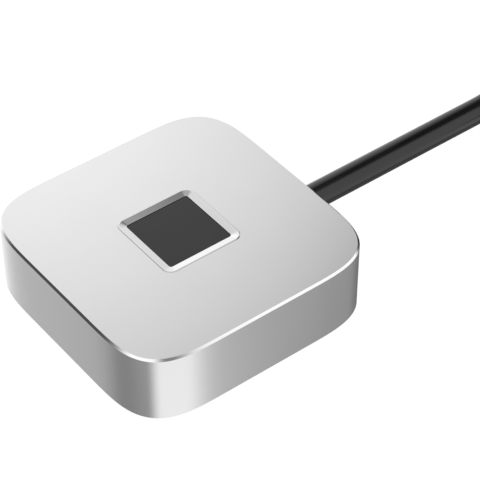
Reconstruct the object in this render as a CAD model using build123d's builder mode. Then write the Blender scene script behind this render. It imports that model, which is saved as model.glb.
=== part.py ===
from build123d import *
import os
from math import cos, pi, radians, sin, tan

# Desktop fingerprint scanner with a USB lead. Millimetres, +Z up, +Y to the rear, where the lead leaves.
# The origin is on the table, under the middle of the housing.

# ---- Housing ----
side = 42.0  # square plan, face to face
corner_run = 14.0  # length of each side that a corner curve takes up
corner_pulls = (0.58, 0.753)  # reach of the curve's two handles towards the corner, as shares of that run
inset_shortening = 1.682  # how much shorter a corner's run gets per millimetre of inset, for even walls
foot_stand = 0.4  # the rubber foot lifts the walls this far off the table
wall_height = 11.6
wall_thickness = 1.6
top_thickness = 1.4
edge_bevel = 0.31  # bright-cut bevel round the top edge
rim_width = 1.0  # wall thickness below the ledge that the base plate bears on
ledge_height = 2.1

rim_height = foot_stand
top_height = rim_height + wall_height
ceiling = top_height - top_thickness

# ---- Sensor ----
sensor_size = 10.96  # square opening of the bezel
sensor_corner = 0.45
slope_size = 13.2  # outer edge of the bezel's slope
slope_corner = 1.35
slope_depth = 0.2
bezel_land = 0.16  # flat rim of the bezel outside its slope
window_gap = 0.02
flange_size = 17.0
flange_corner = 2.0
flange_thickness = 0.5
cover_thickness = 0.25
cover_gap = 0.05
die_size = 10.8
die_gap = 0.2  # round the die, inside the gasket
carrier_size = 12.6
carrier_corner = 0.5
carrier_thickness = 0.6
carrier_gap = 0.1
gasket_thickness = 0.1
flex_thickness = 0.15
flex_width = 6.0  # of its tail
flex_pad = 12.4  # size of the flex and the stiffener under the sensor
flex_bend = 1.5
flex_front = -12.7  # Y of the fold's front
stiffener_thickness = 0.3
cushion_size = 11.6
cushion_thickness = 0.5
retainer_thickness = 0.8
retainer_ear = 3.6  # width of the retainer's arms at its screws

sensor_height = top_height - slope_depth
flange_bottom = ceiling - flange_thickness
carrier_top = flange_bottom + carrier_thickness
flex_bottom = flange_bottom - flex_thickness
stiffener_bottom = flex_bottom - stiffener_thickness
cushion_bottom = stiffener_bottom - cushion_thickness
retainer_bottom = cushion_bottom - retainer_thickness

# ---- Main board and its fasteners ----
board_bottom = 3.4
board_thickness = 1.0
board_size = (32.4, 19.4)
board_middle = -2.5  # Y of the board's middle
board_top = board_bottom + board_thickness
board_posts = (14.2, 7.0)  # X and Y of the board's posts from the board's middle
retainer_posts = (10.4, 6.0)
base_posts = 14.6
base_post_radius = 2.1
board_post_radius = 1.9
retainer_post_radius = 1.5
base_thread_depth = 5.2
board_thread_depth = 4.0
retainer_thread_depth = 2.0
thread_radius = 0.8
thread_gap = 0.04
small_thread_radius = 0.68
head_clearance = 0.1  # round a screw's shank where it only passes through
# Screws: head radius, head height, shank length, and length, width and depth of the cross in the head
retainer_screw = (1.25, 0.6, 2.6, 1.3, 0.28, 0.35)
board_screw = (1.5, 0.65, 4.5, 1.6, 0.32, 0.4)
base_screw = (1.4, 0.6, 5.6, 1.5, 0.32, 0.4)

# ---- Base plate and foot ----
plate_bottom = 0.6
foot_recess = 0.5
foot_inset = 2.6
foot_gap = 0.1
foot_chamfer = 0.15
plate_gap = 0.05
countersink_radius = 1.5

# ---- USB lead ----
lead_diameter = 4.1
lead_height = 4.6  # axis of the lead where it leaves the rear wall
sheath_end = 15.0  # Y where the sheath ends inside the housing
gland_collar = (3.3, 2.6, 2.4)  # root radius, tip radius and length outside the wall
neck_radius = 2.8
gland_flange_radius = 4.2
gland_flange_thickness = 1.6
gland_gap = 0.05  # round its neck, in the wall
sheath_gap = 0.02  # between the sheath and the gland
gland_flat = 2.2  # the gland's inner parts are cut flat here, just above the base plate
wire_radius = 0.38
wire_pitch = 1.25
wire_bend = 1.2
wire_straight = 1.6  # of each wire at both its ends
bundle_radius = 0.95  # of the wires' middles inside the sheath
coil_radius = 23.0  # at the middle of the turns
coil_turns_across = 4
coil_layers = 2
coil_entry_angle = 48.0  # how far before the coil's leftmost point the lead joins it

lead_radius = lead_diameter / 2
coil_outer = coil_radius + coil_turns_across * lead_radius
coil_inner = coil_radius - (coil_turns_across + 0.9) * lead_radius
coil_height = coil_layers * lead_diameter

# The lead's route from the housing to the coil, then from the coil to the plug
lead_route = [
    (0.0, sheath_end, lead_height),
    (0.0, 64.0, lead_height),
    (-4.1, 73.1, 3.3),
    (-11.5, 79.8, lead_radius),
]
tail_route = [
    (35.7, 93.0, 6.0),
    (35.7, 85.0, 3.9),
    (35.7, 77.0, 3.9),
]
coil_middle = (
    lead_route[-1][0] + (coil_outer - lead_radius) * cos(radians(coil_entry_angle)),
    lead_route[-1][1] + (coil_outer - lead_radius) * sin(radians(coil_entry_angle)),
)

# ---- Cable tie ----
tie_width = 8.0
tie_thickness = 0.9
tie_bundle = (15.9, 7.7)  # width and height of the bundle where the tie draws it in
tie_middle = 21.4  # distance of the bundle's middle from the coil's middle, under the tie
tie_corner = 3.0
tie_gap = 0.1  # at each side of the tie, where the turns spread out again
turn_rounding = 0.8  # of the coil's rims, as a share of the lead's radius

# ---- USB plug ----
overmould_size = (18.6, 15.4, 7.8)
overmould_corner = 1.6
relief_length = 5.4
relief_radii = (2.7, 3.5)
shell_size = (12.0, 4.5)
shell_corner = 0.5
shell_thickness = 0.3
shell_out = 12.0
shell_in = 3.0
latch_window = (2.5, 2.3)
latch_pitch = 5.6
latch_out = 6.4  # middle of the latching windows, from the overmould
tongue_size = (11.2, 1.84)
tongue_drop = 0.85  # the tongue lies this far below the shell's middle
tongue_back = 0.8  # the tongue ends this far inside the shell's mouth
contact_width = 1.0
contact_thickness = 0.15
contact_start = 1.6
contacts = [(-3.5, 8.9), (-1.0, 7.9), (1.0, 7.9), (3.5, 8.9)]  # X and length of each


def rounded_square(inset):
    """The housing's plan, inset millimetres inside its outer faces: four flats and four soft corners."""
    half = side / 2 - inset
    run = corner_run - inset_shortening * inset
    flat = half - run
    near = flat + corner_pulls[0] * run
    far = flat + corner_pulls[1] * run
    corner = [(half, flat), (half, near), (half, far), (far, half), (near, half), (flat, half)]
    with BuildSketch(Plane.XY, mode=Mode.PRIVATE) as plan:
        with BuildLine():
            for quarter in range(4):
                curve = [Vector(*point).rotate(Axis.Z, 90 * quarter) for point in corner]
                Bezier(*curve)
                Line(curve[-1], Vector(-flat, half).rotate(Axis.Z, 90 * quarter))
        make_face()
    return plan.sketch


def flat_bottomed_circle(radius):
    """A circle round the lead's axis, cut flat just above the base plate."""
    with BuildSketch(Plane.XY, mode=Mode.PRIVATE) as outline:
        with Locations((0, lead_height)):
            Circle(radius)
        with Locations((0, gland_flat)):
            Rectangle(4 * radius, 4 * radius, align=(Align.CENTER, Align.MAX), mode=Mode.SUBTRACT)
    return outline.sketch


def bend_radii(route):
    """The radius of each corner of a route: 0.45 of its shorter run over the tangent of half its turn."""
    points = [Vector(*point) for point in route]
    radii = []
    for before, here, after in zip(points, points[1:], points[2:]):
        turn = (here - before).get_angle(after - here)
        shorter = min((here - before).length, (after - here).length)
        radii.append(0.45 * shorter / tan(radians(turn) / 2))
    return radii


def save(part, name):
    """Label a finished piece and write it to its own STEP file."""
    part.label = name
    export_step(part, f"parts/{name}.step")


os.makedirs("parts", exist_ok=True)

low = (Align.CENTER, Align.CENTER, Align.MIN)
high = (Align.CENTER, Align.CENTER, Align.MAX)

# ================= Housing =================
with BuildPart() as housing:
    with BuildSketch(Plane.XY.offset(rim_height)):
        add(rounded_square(0))
    extrude(amount=wall_height)
    chamfer(housing.faces().sort_by(Axis.Z)[-1].edges(), edge_bevel)
    with BuildSketch(Plane.XY.offset(rim_height)):
        add(rounded_square(wall_thickness))
    extrude(amount=ceiling - rim_height, mode=Mode.SUBTRACT)
    with BuildSketch(Plane.XY.offset(rim_height)):
        add(rounded_square(rim_width))
    extrude(amount=ledge_height - rim_height, mode=Mode.SUBTRACT)
    # Window for the sensor's bezel
    window_size = slope_size + 2 * (bezel_land + window_gap)
    with BuildSketch(Plane.XY.offset(ceiling)):
        RectangleRounded(window_size, window_size, slope_corner + bezel_land + window_gap)
    extrude(amount=top_thickness, mode=Mode.SUBTRACT)
    # Posts for the base plate, the board and the sensor's retainer, each with a blind thread
    with BuildSketch(Plane.XY.offset(ceiling)):
        with GridLocations(2 * base_posts, 2 * base_posts, 2, 2):
            Circle(base_post_radius)
    extrude(amount=ledge_height - ceiling)
    with BuildSketch(Plane.XY.offset(ceiling)):
        with Locations((0, board_middle)):
            with GridLocations(2 * board_posts[0], 2 * board_posts[1], 2, 2):
                Circle(board_post_radius)
    extrude(amount=board_top - ceiling)
    with BuildSketch(Plane.XY.offset(ceiling)):
        with GridLocations(2 * retainer_posts[0], 2 * retainer_posts[1], 2, 2):
            Circle(retainer_post_radius)
    extrude(amount=cushion_bottom - ceiling)
    with BuildSketch(Plane.XY.offset(ledge_height)):
        with GridLocations(2 * base_posts, 2 * base_posts, 2, 2):
            Circle(thread_radius + thread_gap)
    extrude(amount=base_thread_depth, mode=Mode.SUBTRACT)
    with BuildSketch(Plane.XY.offset(board_top)):
        with Locations((0, board_middle)):
            with GridLocations(2 * board_posts[0], 2 * board_posts[1], 2, 2):
                Circle(thread_radius + thread_gap)
    extrude(amount=board_thread_depth, mode=Mode.SUBTRACT)
    with BuildSketch(Plane.XY.offset(cushion_bottom)):
        with GridLocations(2 * retainer_posts[0], 2 * retainer_posts[1], 2, 2):
            Circle(small_thread_radius + thread_gap)
    extrude(amount=retainer_thread_depth, mode=Mode.SUBTRACT)
    # Hole for the lead's gland in the rear wall
    with BuildSketch(Plane.XZ.offset(-side / 2)):
        add(flat_bottomed_circle(neck_radius + gland_gap))
    extrude(amount=wall_thickness, mode=Mode.SUBTRACT)
save(housing.part, "housing")

# ================= Sensor stack, from the top down =================
with BuildPart() as sensor_bezel:
    bezel_size = slope_size + 2 * bezel_land
    with BuildSketch(Plane.XY.offset(flange_bottom)):
        RectangleRounded(bezel_size, bezel_size, slope_corner + bezel_land)
    extrude(amount=top_height - flange_bottom)
    with BuildSketch(Plane.XY.offset(flange_bottom)):
        RectangleRounded(flange_size, flange_size, flange_corner)
    extrude(amount=flange_thickness)
    with BuildSketch(Plane.XY.offset(flange_bottom)):
        RectangleRounded(sensor_size, sensor_size, sensor_corner)
    extrude(amount=top_height - flange_bottom, mode=Mode.SUBTRACT)
    with BuildSketch(Plane.XY.offset(flange_bottom)):
        pocket = carrier_size + 2 * carrier_gap
        RectangleRounded(pocket, pocket, carrier_corner + carrier_gap)
    extrude(amount=carrier_thickness + gasket_thickness, mode=Mode.SUBTRACT)
    # The slope that leads a fingertip down to the sensor
    with BuildSketch(Plane.XY.offset(sensor_height)):
        RectangleRounded(sensor_size, sensor_size, sensor_corner)
    with BuildSketch(Plane.XY.offset(top_height)):
        RectangleRounded(slope_size, slope_size, slope_corner)
    loft(mode=Mode.SUBTRACT)
save(sensor_bezel.part, "sensor_bezel")

with BuildPart() as sensor_cover:
    with BuildSketch(Plane.XY.offset(sensor_height - cover_thickness)):
        RectangleRounded(sensor_size - 2 * cover_gap, sensor_size - 2 * cover_gap, sensor_corner - cover_gap)
    extrude(amount=cover_thickness)
save(sensor_cover.part, "sensor_cover")

with BuildPart() as sensor_package:
    with BuildSketch(Plane.XY.offset(flange_bottom)):
        RectangleRounded(carrier_size, carrier_size, carrier_corner)
    extrude(amount=carrier_thickness)
    with BuildSketch(Plane.XY.offset(carrier_top)):
        Rectangle(die_size, die_size)
    extrude(amount=sensor_height - cover_thickness - carrier_top)
save(sensor_package.part, "sensor_package")

with BuildPart() as sensor_gasket:
    with BuildSketch(Plane.XY.offset(carrier_top)):
        RectangleRounded(carrier_size, carrier_size, carrier_corner)
        Rectangle(die_size + 2 * die_gap, die_size + 2 * die_gap, mode=Mode.SUBTRACT)
    extrude(amount=gasket_thickness)
save(sensor_gasket.part, "sensor_gasket")

# The flexible circuit lies under the sensor, and its tail folds down and back into the board's connector.
flex_middle = flex_bottom + flex_thickness / 2
socket_middle = board_top + 0.65
with BuildPart() as sensor_flex:
    with BuildSketch(Plane.XY.offset(flex_bottom)):
        RectangleRounded(flex_pad, flex_pad, 0.6)
    extrude(amount=flex_thickness)
    with BuildLine() as tail_fold:
        FilletPolyline(
            (0, -6.0, flex_middle),
            (0, flex_front, flex_middle),
            (0, flex_front, socket_middle),
            (0, -7.2, socket_middle),
            radius=flex_bend,
        )
    with BuildSketch(Plane(origin=tail_fold.line @ 0, x_dir=(1, 0, 0), z_dir=(0, -1, 0))):
        Rectangle(flex_width, flex_thickness)
    sweep()
save(sensor_flex.part, "sensor_flex")

with BuildPart() as sensor_stiffener:
    with BuildSketch(Plane.XY.offset(stiffener_bottom)):
        RectangleRounded(flex_pad, flex_pad, 0.8)
    extrude(amount=stiffener_thickness)
save(sensor_stiffener.part, "sensor_stiffener")

with BuildPart() as sensor_cushion:
    with BuildSketch(Plane.XY.offset(cushion_bottom)):
        RectangleRounded(cushion_size, cushion_size, 1.0)
    extrude(amount=cushion_thickness)
save(sensor_cushion.part, "sensor_cushion")

with BuildPart() as sensor_retainer:
    with BuildSketch(Plane.XY.offset(retainer_bottom)):
        RectangleRounded(flange_size, flange_size, flange_corner)
        with GridLocations(0, 2 * retainer_posts[1], 1, 2):
            RectangleRounded(2 * retainer_posts[0] + retainer_ear, retainer_ear, retainer_ear / 2 - 0.01)
        with GridLocations(2 * retainer_posts[0], 2 * retainer_posts[1], 2, 2):
            Circle(small_thread_radius + 0.07, mode=Mode.SUBTRACT)
        RectangleRounded(5.0, 5.0, 0.8, mode=Mode.SUBTRACT)
    extrude(amount=retainer_thickness)
    # Corner pads that press the bezel's flange to the ceiling
    with BuildSketch(Plane.XY.offset(cushion_bottom)):
        with GridLocations(15.2, 15.2, 2, 2):
            RectangleRounded(1.6, 1.6, 0.4)
    extrude(amount=flange_bottom - cushion_bottom)
save(sensor_retainer.part, "sensor_retainer")

head_radius, head_height, shank, cross, slot, slot_depth = retainer_screw
with BuildPart() as retainer_screws:
    with Locations((0, 0, retainer_bottom)):
        with GridLocations(2 * retainer_posts[0], 2 * retainer_posts[1], 2, 2):
            Cylinder(head_radius, head_height, align=high)
            Cylinder(small_thread_radius, shank, align=low)
    with Locations((0, 0, retainer_bottom - head_height)):
        with GridLocations(2 * retainer_posts[0], 2 * retainer_posts[1], 2, 2):
            Box(cross, slot, slot_depth, align=low, mode=Mode.SUBTRACT)
            Box(slot, cross, slot_depth, align=low, mode=Mode.SUBTRACT)
save(retainer_screws.part, "retainer_screws")

# ================= Main board =================
with BuildPart() as main_board:
    with BuildSketch(Plane.XY.offset(board_bottom)):
        with Locations((0, board_middle)):
            RectangleRounded(*board_size, 1.5)
            with GridLocations(2 * board_posts[0], 2 * board_posts[1], 2, 2):
                Circle(thread_radius + head_clearance, mode=Mode.SUBTRACT)
    extrude(amount=board_thickness)
save(main_board.part, "main_board")

head_radius, head_height, shank, cross, slot, slot_depth = board_screw
with BuildPart() as board_screws:
    with Locations((0, board_middle, board_bottom)):
        with GridLocations(2 * board_posts[0], 2 * board_posts[1], 2, 2):
            Cylinder(head_radius, head_height, align=high)
            Cylinder(thread_radius, shank, align=low)
    with Locations((0, board_middle, board_bottom - head_height)):
        with GridLocations(2 * board_posts[0], 2 * board_posts[1], 2, 2):
            Box(cross, slot, slot_depth, align=low, mode=Mode.SUBTRACT)
            Box(slot, cross, slot_depth, align=low, mode=Mode.SUBTRACT)
save(board_screws.part, "board_screws")

# Chips: a body on two or four rows of bent leads, or a leadless block
with BuildPart() as controller_chip:
    with Locations((-9.6, -1.2, board_top)):
        with Locations((0, 0, 0.1)):
            Box(7.0, 7.0, 1.0, align=low)
        for quarter in range(4):
            with Locations(Rotation(0, 0, 90 * quarter)):
                with GridLocations(0, 0.8, 1, 8):
                    with Locations((4.0, 0, 0)):
                        Box(1.2, 0.32, 0.15, align=low)
                    with Locations((3.5, 0, 0)):
                        Box(0.3, 0.32, 0.5, align=low)
    chamfer(controller_chip.faces().sort_by(Axis.Z)[-1].edges(), 0.15)
save(controller_chip.part, "controller_chip")

with BuildPart() as flash_chip:
    with Locations((9.6, -3.8, board_top)):
        with Locations((0, 0, 0.15)):
            Box(4.9, 3.9, 1.4, align=low)
        for way in (-1, 1):
            with GridLocations(1.27, 0, 4, 1):
                with Locations((0, way * 2.5, 0)):
                    Box(0.42, 1.0, 0.2, align=low)
                with Locations((0, way * 2.0, 0)):
                    Box(0.42, 0.3, 0.8, align=low)
    chamfer(flash_chip.faces().sort_by(Axis.Z)[-1].edges(), 0.2)
save(flash_chip.part, "flash_chip")

with BuildPart() as crystal:
    with BuildSketch(Plane.XY.offset(board_top)):
        with Locations((-9.6, -7.6)):
            RectangleRounded(3.2, 2.5, 0.25)
    extrude(amount=0.45)
    with BuildSketch(Plane.XY.offset(board_top + 0.45)):
        with Locations((-9.6, -7.6)):
            RectangleRounded(2.9, 2.2, 0.4)
    extrude(amount=0.3)
save(crystal.part, "crystal")

with BuildPart() as voltage_regulator:
    with Locations((9.6, 2.6, board_top)):
        with Locations((0, 0, 0.1)):
            Box(2.9, 1.6, 1.0, align=low)
        with GridLocations(0.95, 0, 3, 1):
            with Locations((0, -1.1, 0)):
                Box(0.4, 0.9, 0.15, align=low)
        with GridLocations(1.9, 0, 2, 1):
            with Locations((0, 1.1, 0)):
                Box(0.4, 0.9, 0.15, align=low)
save(voltage_regulator.part, "voltage_regulator")

with BuildPart() as esd_array:
    with Locations((6.2, 0.2, board_top)):
        with Locations((0, 0, 0.05)):
            Box(1.6, 1.2, 0.5, align=low)
        for way in (-1, 1):
            with GridLocations(0.5, 0, 3, 1):
                with Locations((0, way * 0.7, 0)):
                    Box(0.22, 0.4, 0.12, align=low)
save(esd_array.part, "esd_array")

# Ceramic capacitors and resistors: a block between two raised end caps
passive_places = [
    (-15.2, 1.0), (-15.2, -0.6), (-15.2, -2.2), (-15.2, -3.8), (-12.6, -6.9), (-6.6, -7.6),
    (-2.4, -1.6), (-0.6, -1.6), (1.2, -1.6), (3.0, -1.6), (15.2, 1.0), (15.2, -0.6),
    (15.2, -2.2), (5.4, -4.4), (5.4, -6.0), (6.2, 2.6),
]
with BuildPart() as passive_parts:
    with Locations((0, 0, board_top)):
        with Locations(*[(x, y, 0) for x, y in passive_places]):
            Box(1.0, 0.5, 0.35, align=low)
            with GridLocations(0.8, 0, 2, 1):
                Box(0.22, 0.54, 0.4, align=low)
save(passive_parts.part, "passive_parts")

# Flat-cable connector for the sensor's tail, with its hinged latch closed on top
with BuildPart() as flex_connector:
    with BuildSketch(Plane.XY.offset(board_top)):
        with Locations((0, -7.3)):
            Rectangle(8.6, 4.0)
    extrude(amount=1.2)
    with Locations((0, -9.3, socket_middle)):
        Box(flex_width + 0.3, 2.6, 0.3, align=(Align.CENTER, Align.MIN, Align.CENTER), mode=Mode.SUBTRACT)
    with Locations((0, -5.3, board_top)):
        with GridLocations(0.5, 0, 12, 1):
            Box(0.2, 0.7, 0.2, align=(Align.CENTER, Align.MIN, Align.MIN))
save(flex_connector.part, "flex_connector")

with BuildPart() as connector_latch:
    with Locations((0, -6.1, board_top + 1.2)):
        Box(8.4, 1.6, 0.45, align=low)
    fillet(connector_latch.edges().filter_by(Axis.X).group_by(Axis.Z)[-1], 0.2)
save(connector_latch.part, "connector_latch")

# Wire-to-board connector at the board's rear edge: shroud, solder pins and the wires' crimp housing
header_front = 2.8
header_rear = 7.0
crimp_rear = 8.8
crimp_middle = board_top + 1.65
with BuildPart() as cable_header:
    with BuildSketch(Plane.XZ.offset(-header_rear)):
        with Locations((0, board_top + 1.6)):
            Rectangle(9.4, 3.2)
    extrude(amount=header_rear - header_front)
    with BuildSketch(Plane.XZ.offset(-header_rear)):
        with Locations((0, crimp_middle)):
            Rectangle(7.5, 2.1)
    extrude(amount=3.3, mode=Mode.SUBTRACT)
    # Slot in the roof for the crimp housing's polarising rib
    with BuildSketch(Plane.XZ.offset(-header_rear)):
        with Locations((0, board_top + 3.2)):
            Rectangle(2.4, 1.4)
    extrude(amount=2.4, mode=Mode.SUBTRACT)
save(cable_header.part, "cable_header")

with BuildPart() as header_pins:
    with Locations((0, header_front, board_top)):
        with GridLocations(wire_pitch, 0, 5, 1):
            Box(0.4, 1.2, 0.3, align=(Align.CENTER, Align.MAX, Align.MIN))
save(header_pins.part, "header_pins")

with BuildPart() as crimp_housing:
    with BuildSketch(Plane.XZ.offset(-crimp_rear)):
        with Locations((0, crimp_middle)):
            Rectangle(7.4, 2.0)
    extrude(amount=crimp_rear - header_rear + 3.2)
    with Locations((0, crimp_rear - 0.4, crimp_middle + 1.0)):
        Box(2.2, 3.6, 0.5, align=(Align.CENTER, Align.MAX, Align.MIN))
save(crimp_housing.part, "crimp_housing")

# The lead's five wires fan out from its sheath to the crimp housing.
wires = [("wire_drain", 162), ("wire_red", 234), ("wire_white", 90), ("wire_green", 306), ("wire_black", 18)]
for place, (wire_name, angle) in enumerate(wires):
    at_sheath = (bundle_radius * cos(radians(angle)), lead_height + bundle_radius * sin(radians(angle)))
    at_housing = wire_pitch * (place - 2)
    with BuildPart() as wire:
        with BuildLine() as wire_line:
            FilletPolyline(
                (at_sheath[0], sheath_end, at_sheath[1]),
                (at_sheath[0], sheath_end - wire_straight, at_sheath[1]),
                (at_housing, crimp_rear + wire_straight, crimp_middle),
                (at_housing, crimp_rear, crimp_middle),
                radius=wire_bend,
            )
        with BuildSketch(Plane(origin=wire_line.line @ 0, z_dir=wire_line.line % 0)):
            Circle(wire_radius)
        sweep()
    save(wire.part, wire_name)

# ================= Base =================
plate_inset = rim_width + plate_gap
recess_height = plate_bottom + foot_recess
with BuildPart() as base_plate:
    with BuildSketch(Plane.XY.offset(plate_bottom)):
        add(rounded_square(plate_inset))
    extrude(amount=ledge_height - plate_bottom)
    with BuildSketch(Plane.XY.offset(plate_bottom)):
        add(rounded_square(foot_inset))
    extrude(amount=foot_recess, mode=Mode.SUBTRACT)
    with Locations(Plane(origin=(0, 0, recess_height), z_dir=(0, 0, -1))):
        with GridLocations(2 * base_posts, 2 * base_posts, 2, 2):
            CounterSinkHole(thread_radius + head_clearance, countersink_radius, counter_sink_angle=90)
save(base_plate.part, "base_plate")

head_radius, head_height, shank, cross, slot, slot_depth = base_screw
with BuildPart() as base_screws:
    with Locations((0, 0, recess_height)):
        with GridLocations(2 * base_posts, 2 * base_posts, 2, 2):
            Cone(head_radius, thread_radius, head_height, align=low)
            Cylinder(thread_radius, shank, align=low)
            Box(cross, slot, slot_depth, align=low, mode=Mode.SUBTRACT)
            Box(slot, cross, slot_depth, align=low, mode=Mode.SUBTRACT)
save(base_screws.part, "base_screws")

with BuildPart() as rubber_foot:
    with BuildSketch():
        add(rounded_square(foot_inset + foot_gap))
    extrude(amount=recess_height)
    chamfer(rubber_foot.faces().sort_by(Axis.Z)[0].edges(), foot_chamfer)
save(rubber_foot.part, "rubber_foot")

# ================= Lead: gland, sheath, coil and tie =================
with BuildPart() as cable_gland:
    with BuildSketch(Plane.XZ.offset(-side / 2)):
        with Locations((0, lead_height)):
            Circle(gland_collar[0])
    with BuildSketch(Plane.XZ.offset(-side / 2 - gland_collar[2])):
        with Locations((0, lead_height)):
            Circle(gland_collar[1])
    loft()
    with BuildSketch(Plane.XZ.offset(-side / 2)):
        add(flat_bottomed_circle(neck_radius))
    extrude(amount=wall_thickness)
    with BuildSketch(Plane.XZ.offset(-side / 2 + wall_thickness)):
        add(flat_bottomed_circle(gland_flange_radius))
    extrude(amount=gland_flange_thickness)
    with BuildSketch(Plane.XZ.offset(-side / 2 - gland_collar[2])):
        with Locations((0, lead_height)):
            Circle(lead_radius + sheath_gap)
    extrude(amount=gland_collar[2] + wall_thickness + gland_flange_thickness, mode=Mode.SUBTRACT)
save(cable_gland.part, "cable_gland")

for sheath_name, route in (("usb_cable", lead_route), ("cable_tail", tail_route)):
    radii = bend_radii(route)
    print(sheath_name, "bend radii", [round(radius, 1) for radius in radii])
    with BuildPart() as sheath:
        with BuildLine() as sheath_line:
            FilletPolyline(*route, radius=radii)
        with BuildSketch(Plane(origin=sheath_line.line @ 0, z_dir=sheath_line.line % 0)):
            Circle(lead_radius)
        sweep()
    straight_volume = pi * lead_radius**2 * sum(edge.length for edge in sheath_line.edges())
    print(sheath_name, "volume", round(sheath.part.volume), "of", round(straight_volume))
    save(sheath.part, sheath_name)

# The coil's outer shape, drawn in where the tie holds it
tie_origin = (coil_middle[0], coil_middle[1] + tie_middle, tie_thickness + tie_bundle[1] / 2)
tie_plane = Plane(origin=tie_origin, x_dir=(0, 1, 0), z_dir=(1, 0, 0))
with BuildPart() as cable_coil:
    with BuildSketch(Plane(origin=(*coil_middle, 0))):
        Circle(coil_outer)
        Circle(coil_inner, mode=Mode.SUBTRACT)
    extrude(amount=coil_height)
    rims = cable_coil.edges().filter_by(GeomType.CIRCLE)
    fillet(rims, lead_radius * turn_rounding)
    with BuildSketch(tie_plane):
        Rectangle(2 * tie_bundle[0], 4 * tie_bundle[1])
        RectangleRounded(*tie_bundle, tie_corner - tie_thickness, mode=Mode.SUBTRACT)
    extrude(amount=tie_width / 2 + tie_gap, both=True, mode=Mode.SUBTRACT)
save(cable_coil.part, "cable_coil")

with BuildPart() as cable_tie:
    with BuildSketch(tie_plane):
        RectangleRounded(
            tie_bundle[0] + 2 * tie_thickness,
            tie_bundle[1] + 2 * tie_thickness,
            tie_corner,
        )
        RectangleRounded(*tie_bundle, tie_corner - tie_thickness, mode=Mode.SUBTRACT)
    extrude(amount=tie_width / 2, both=True)
save(cable_tie.part, "cable_tie")

# ================= USB plug, pointing back along -Y =================
plug_plane = Plane(origin=tail_route[-1], x_dir=(1, 0, 0), z_dir=(0, -1, 0))
front_plane = plug_plane.offset(relief_length + overmould_size[0])
with BuildPart() as plug_overmould:
    with BuildSketch(plug_plane):
        Circle(relief_radii[0])
    with BuildSketch(plug_plane.offset(relief_length)):
        Circle(relief_radii[1])
    loft()
    with BuildSketch(plug_plane.offset(relief_length)):
        RectangleRounded(overmould_size[1], overmould_size[2], overmould_corner)
    extrude(amount=overmould_size[0])
    with BuildSketch(front_plane):
        RectangleRounded(*shell_size, shell_corner)
    extrude(amount=-shell_in, mode=Mode.SUBTRACT)
save(plug_overmould.part, "plug_overmould")

with BuildPart() as plug_shell:
    with BuildSketch(front_plane.offset(-shell_in)):
        RectangleRounded(*shell_size, shell_corner)
        inner = (shell_size[0] - 2 * shell_thickness, shell_size[1] - 2 * shell_thickness)
        RectangleRounded(*inner, shell_corner - shell_thickness, mode=Mode.SUBTRACT)
    extrude(amount=shell_in + shell_out)
    # Latching windows in the upper and lower faces
    with Locations(front_plane.offset(latch_out)):
        with GridLocations(latch_pitch, 0, 2, 1):
            Box(latch_window[0], 2 * shell_size[1], latch_window[1], mode=Mode.SUBTRACT)
save(plug_shell.part, "plug_shell")

with BuildPart() as plug_tongue:
    with BuildSketch(front_plane.offset(-shell_in)):
        with Locations((0, -tongue_drop)):
            Rectangle(*tongue_size)
    extrude(amount=shell_in + shell_out - tongue_back)
save(plug_tongue.part, "plug_tongue")

with BuildPart() as plug_contacts:
    for across, length in contacts:
        with BuildSketch(front_plane.offset(contact_start)):
            with Locations((across, tongue_size[1] / 2 - tongue_drop)):
                Rectangle(contact_width, contact_thickness, align=(Align.CENTER, Align.MIN))
        extrude(amount=length)
save(plug_contacts.part, "plug_contacts")
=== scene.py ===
import math

import bmesh
import bpy
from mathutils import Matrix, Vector


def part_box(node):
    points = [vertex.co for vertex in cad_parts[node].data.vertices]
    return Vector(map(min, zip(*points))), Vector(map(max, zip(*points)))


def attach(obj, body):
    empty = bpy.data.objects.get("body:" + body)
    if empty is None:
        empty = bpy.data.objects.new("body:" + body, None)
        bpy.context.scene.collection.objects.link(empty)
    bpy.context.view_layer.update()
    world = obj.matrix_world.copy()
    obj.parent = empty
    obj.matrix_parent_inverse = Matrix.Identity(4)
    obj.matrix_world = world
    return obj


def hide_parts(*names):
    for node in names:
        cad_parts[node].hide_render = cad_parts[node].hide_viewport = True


# The looks of a desktop fingerprint scanner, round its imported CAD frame: +Z is up, and +Y is the rear.
MM = 0.001
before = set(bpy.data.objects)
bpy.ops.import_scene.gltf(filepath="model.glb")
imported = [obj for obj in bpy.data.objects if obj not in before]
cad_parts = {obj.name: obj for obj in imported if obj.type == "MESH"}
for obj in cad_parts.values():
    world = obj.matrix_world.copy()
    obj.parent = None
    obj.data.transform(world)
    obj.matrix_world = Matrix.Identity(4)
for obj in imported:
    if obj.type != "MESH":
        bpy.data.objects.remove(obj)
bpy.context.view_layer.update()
scene = bpy.context.scene
scene.view_settings.view_transform = "Standard"


# ---------------------------------------------------------------- camera
def make_camera(azimuth, elevation, distance, target, lens):
    """A camera that looks at target; azimuth 0 looks along +Y, and elevation is above the horizon."""
    a, e = math.radians(azimuth), math.radians(elevation)
    back = Vector((math.sin(a) * math.cos(e), -math.cos(a) * math.cos(e), math.sin(e)))
    data = bpy.data.cameras.new("camera")
    data.sensor_width = 36
    data.lens = lens
    data.clip_start = 0.01
    data.clip_end = 20
    camera = bpy.data.objects.new("camera", data)
    camera.location = Vector(target) + back * distance
    camera.rotation_mode = "QUATERNION"
    camera.rotation_quaternion = (-back).to_track_quat("-Z", "Y")
    scene.collection.objects.link(camera)
    scene.camera = camera


make_camera(
    azimuth=52.25,
    elevation=42.92,
    distance=306.27 * MM,
    target=(-2.767 * MM, 13.355 * MM, 0.4 * MM),
    lens=150.86,
)


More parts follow.
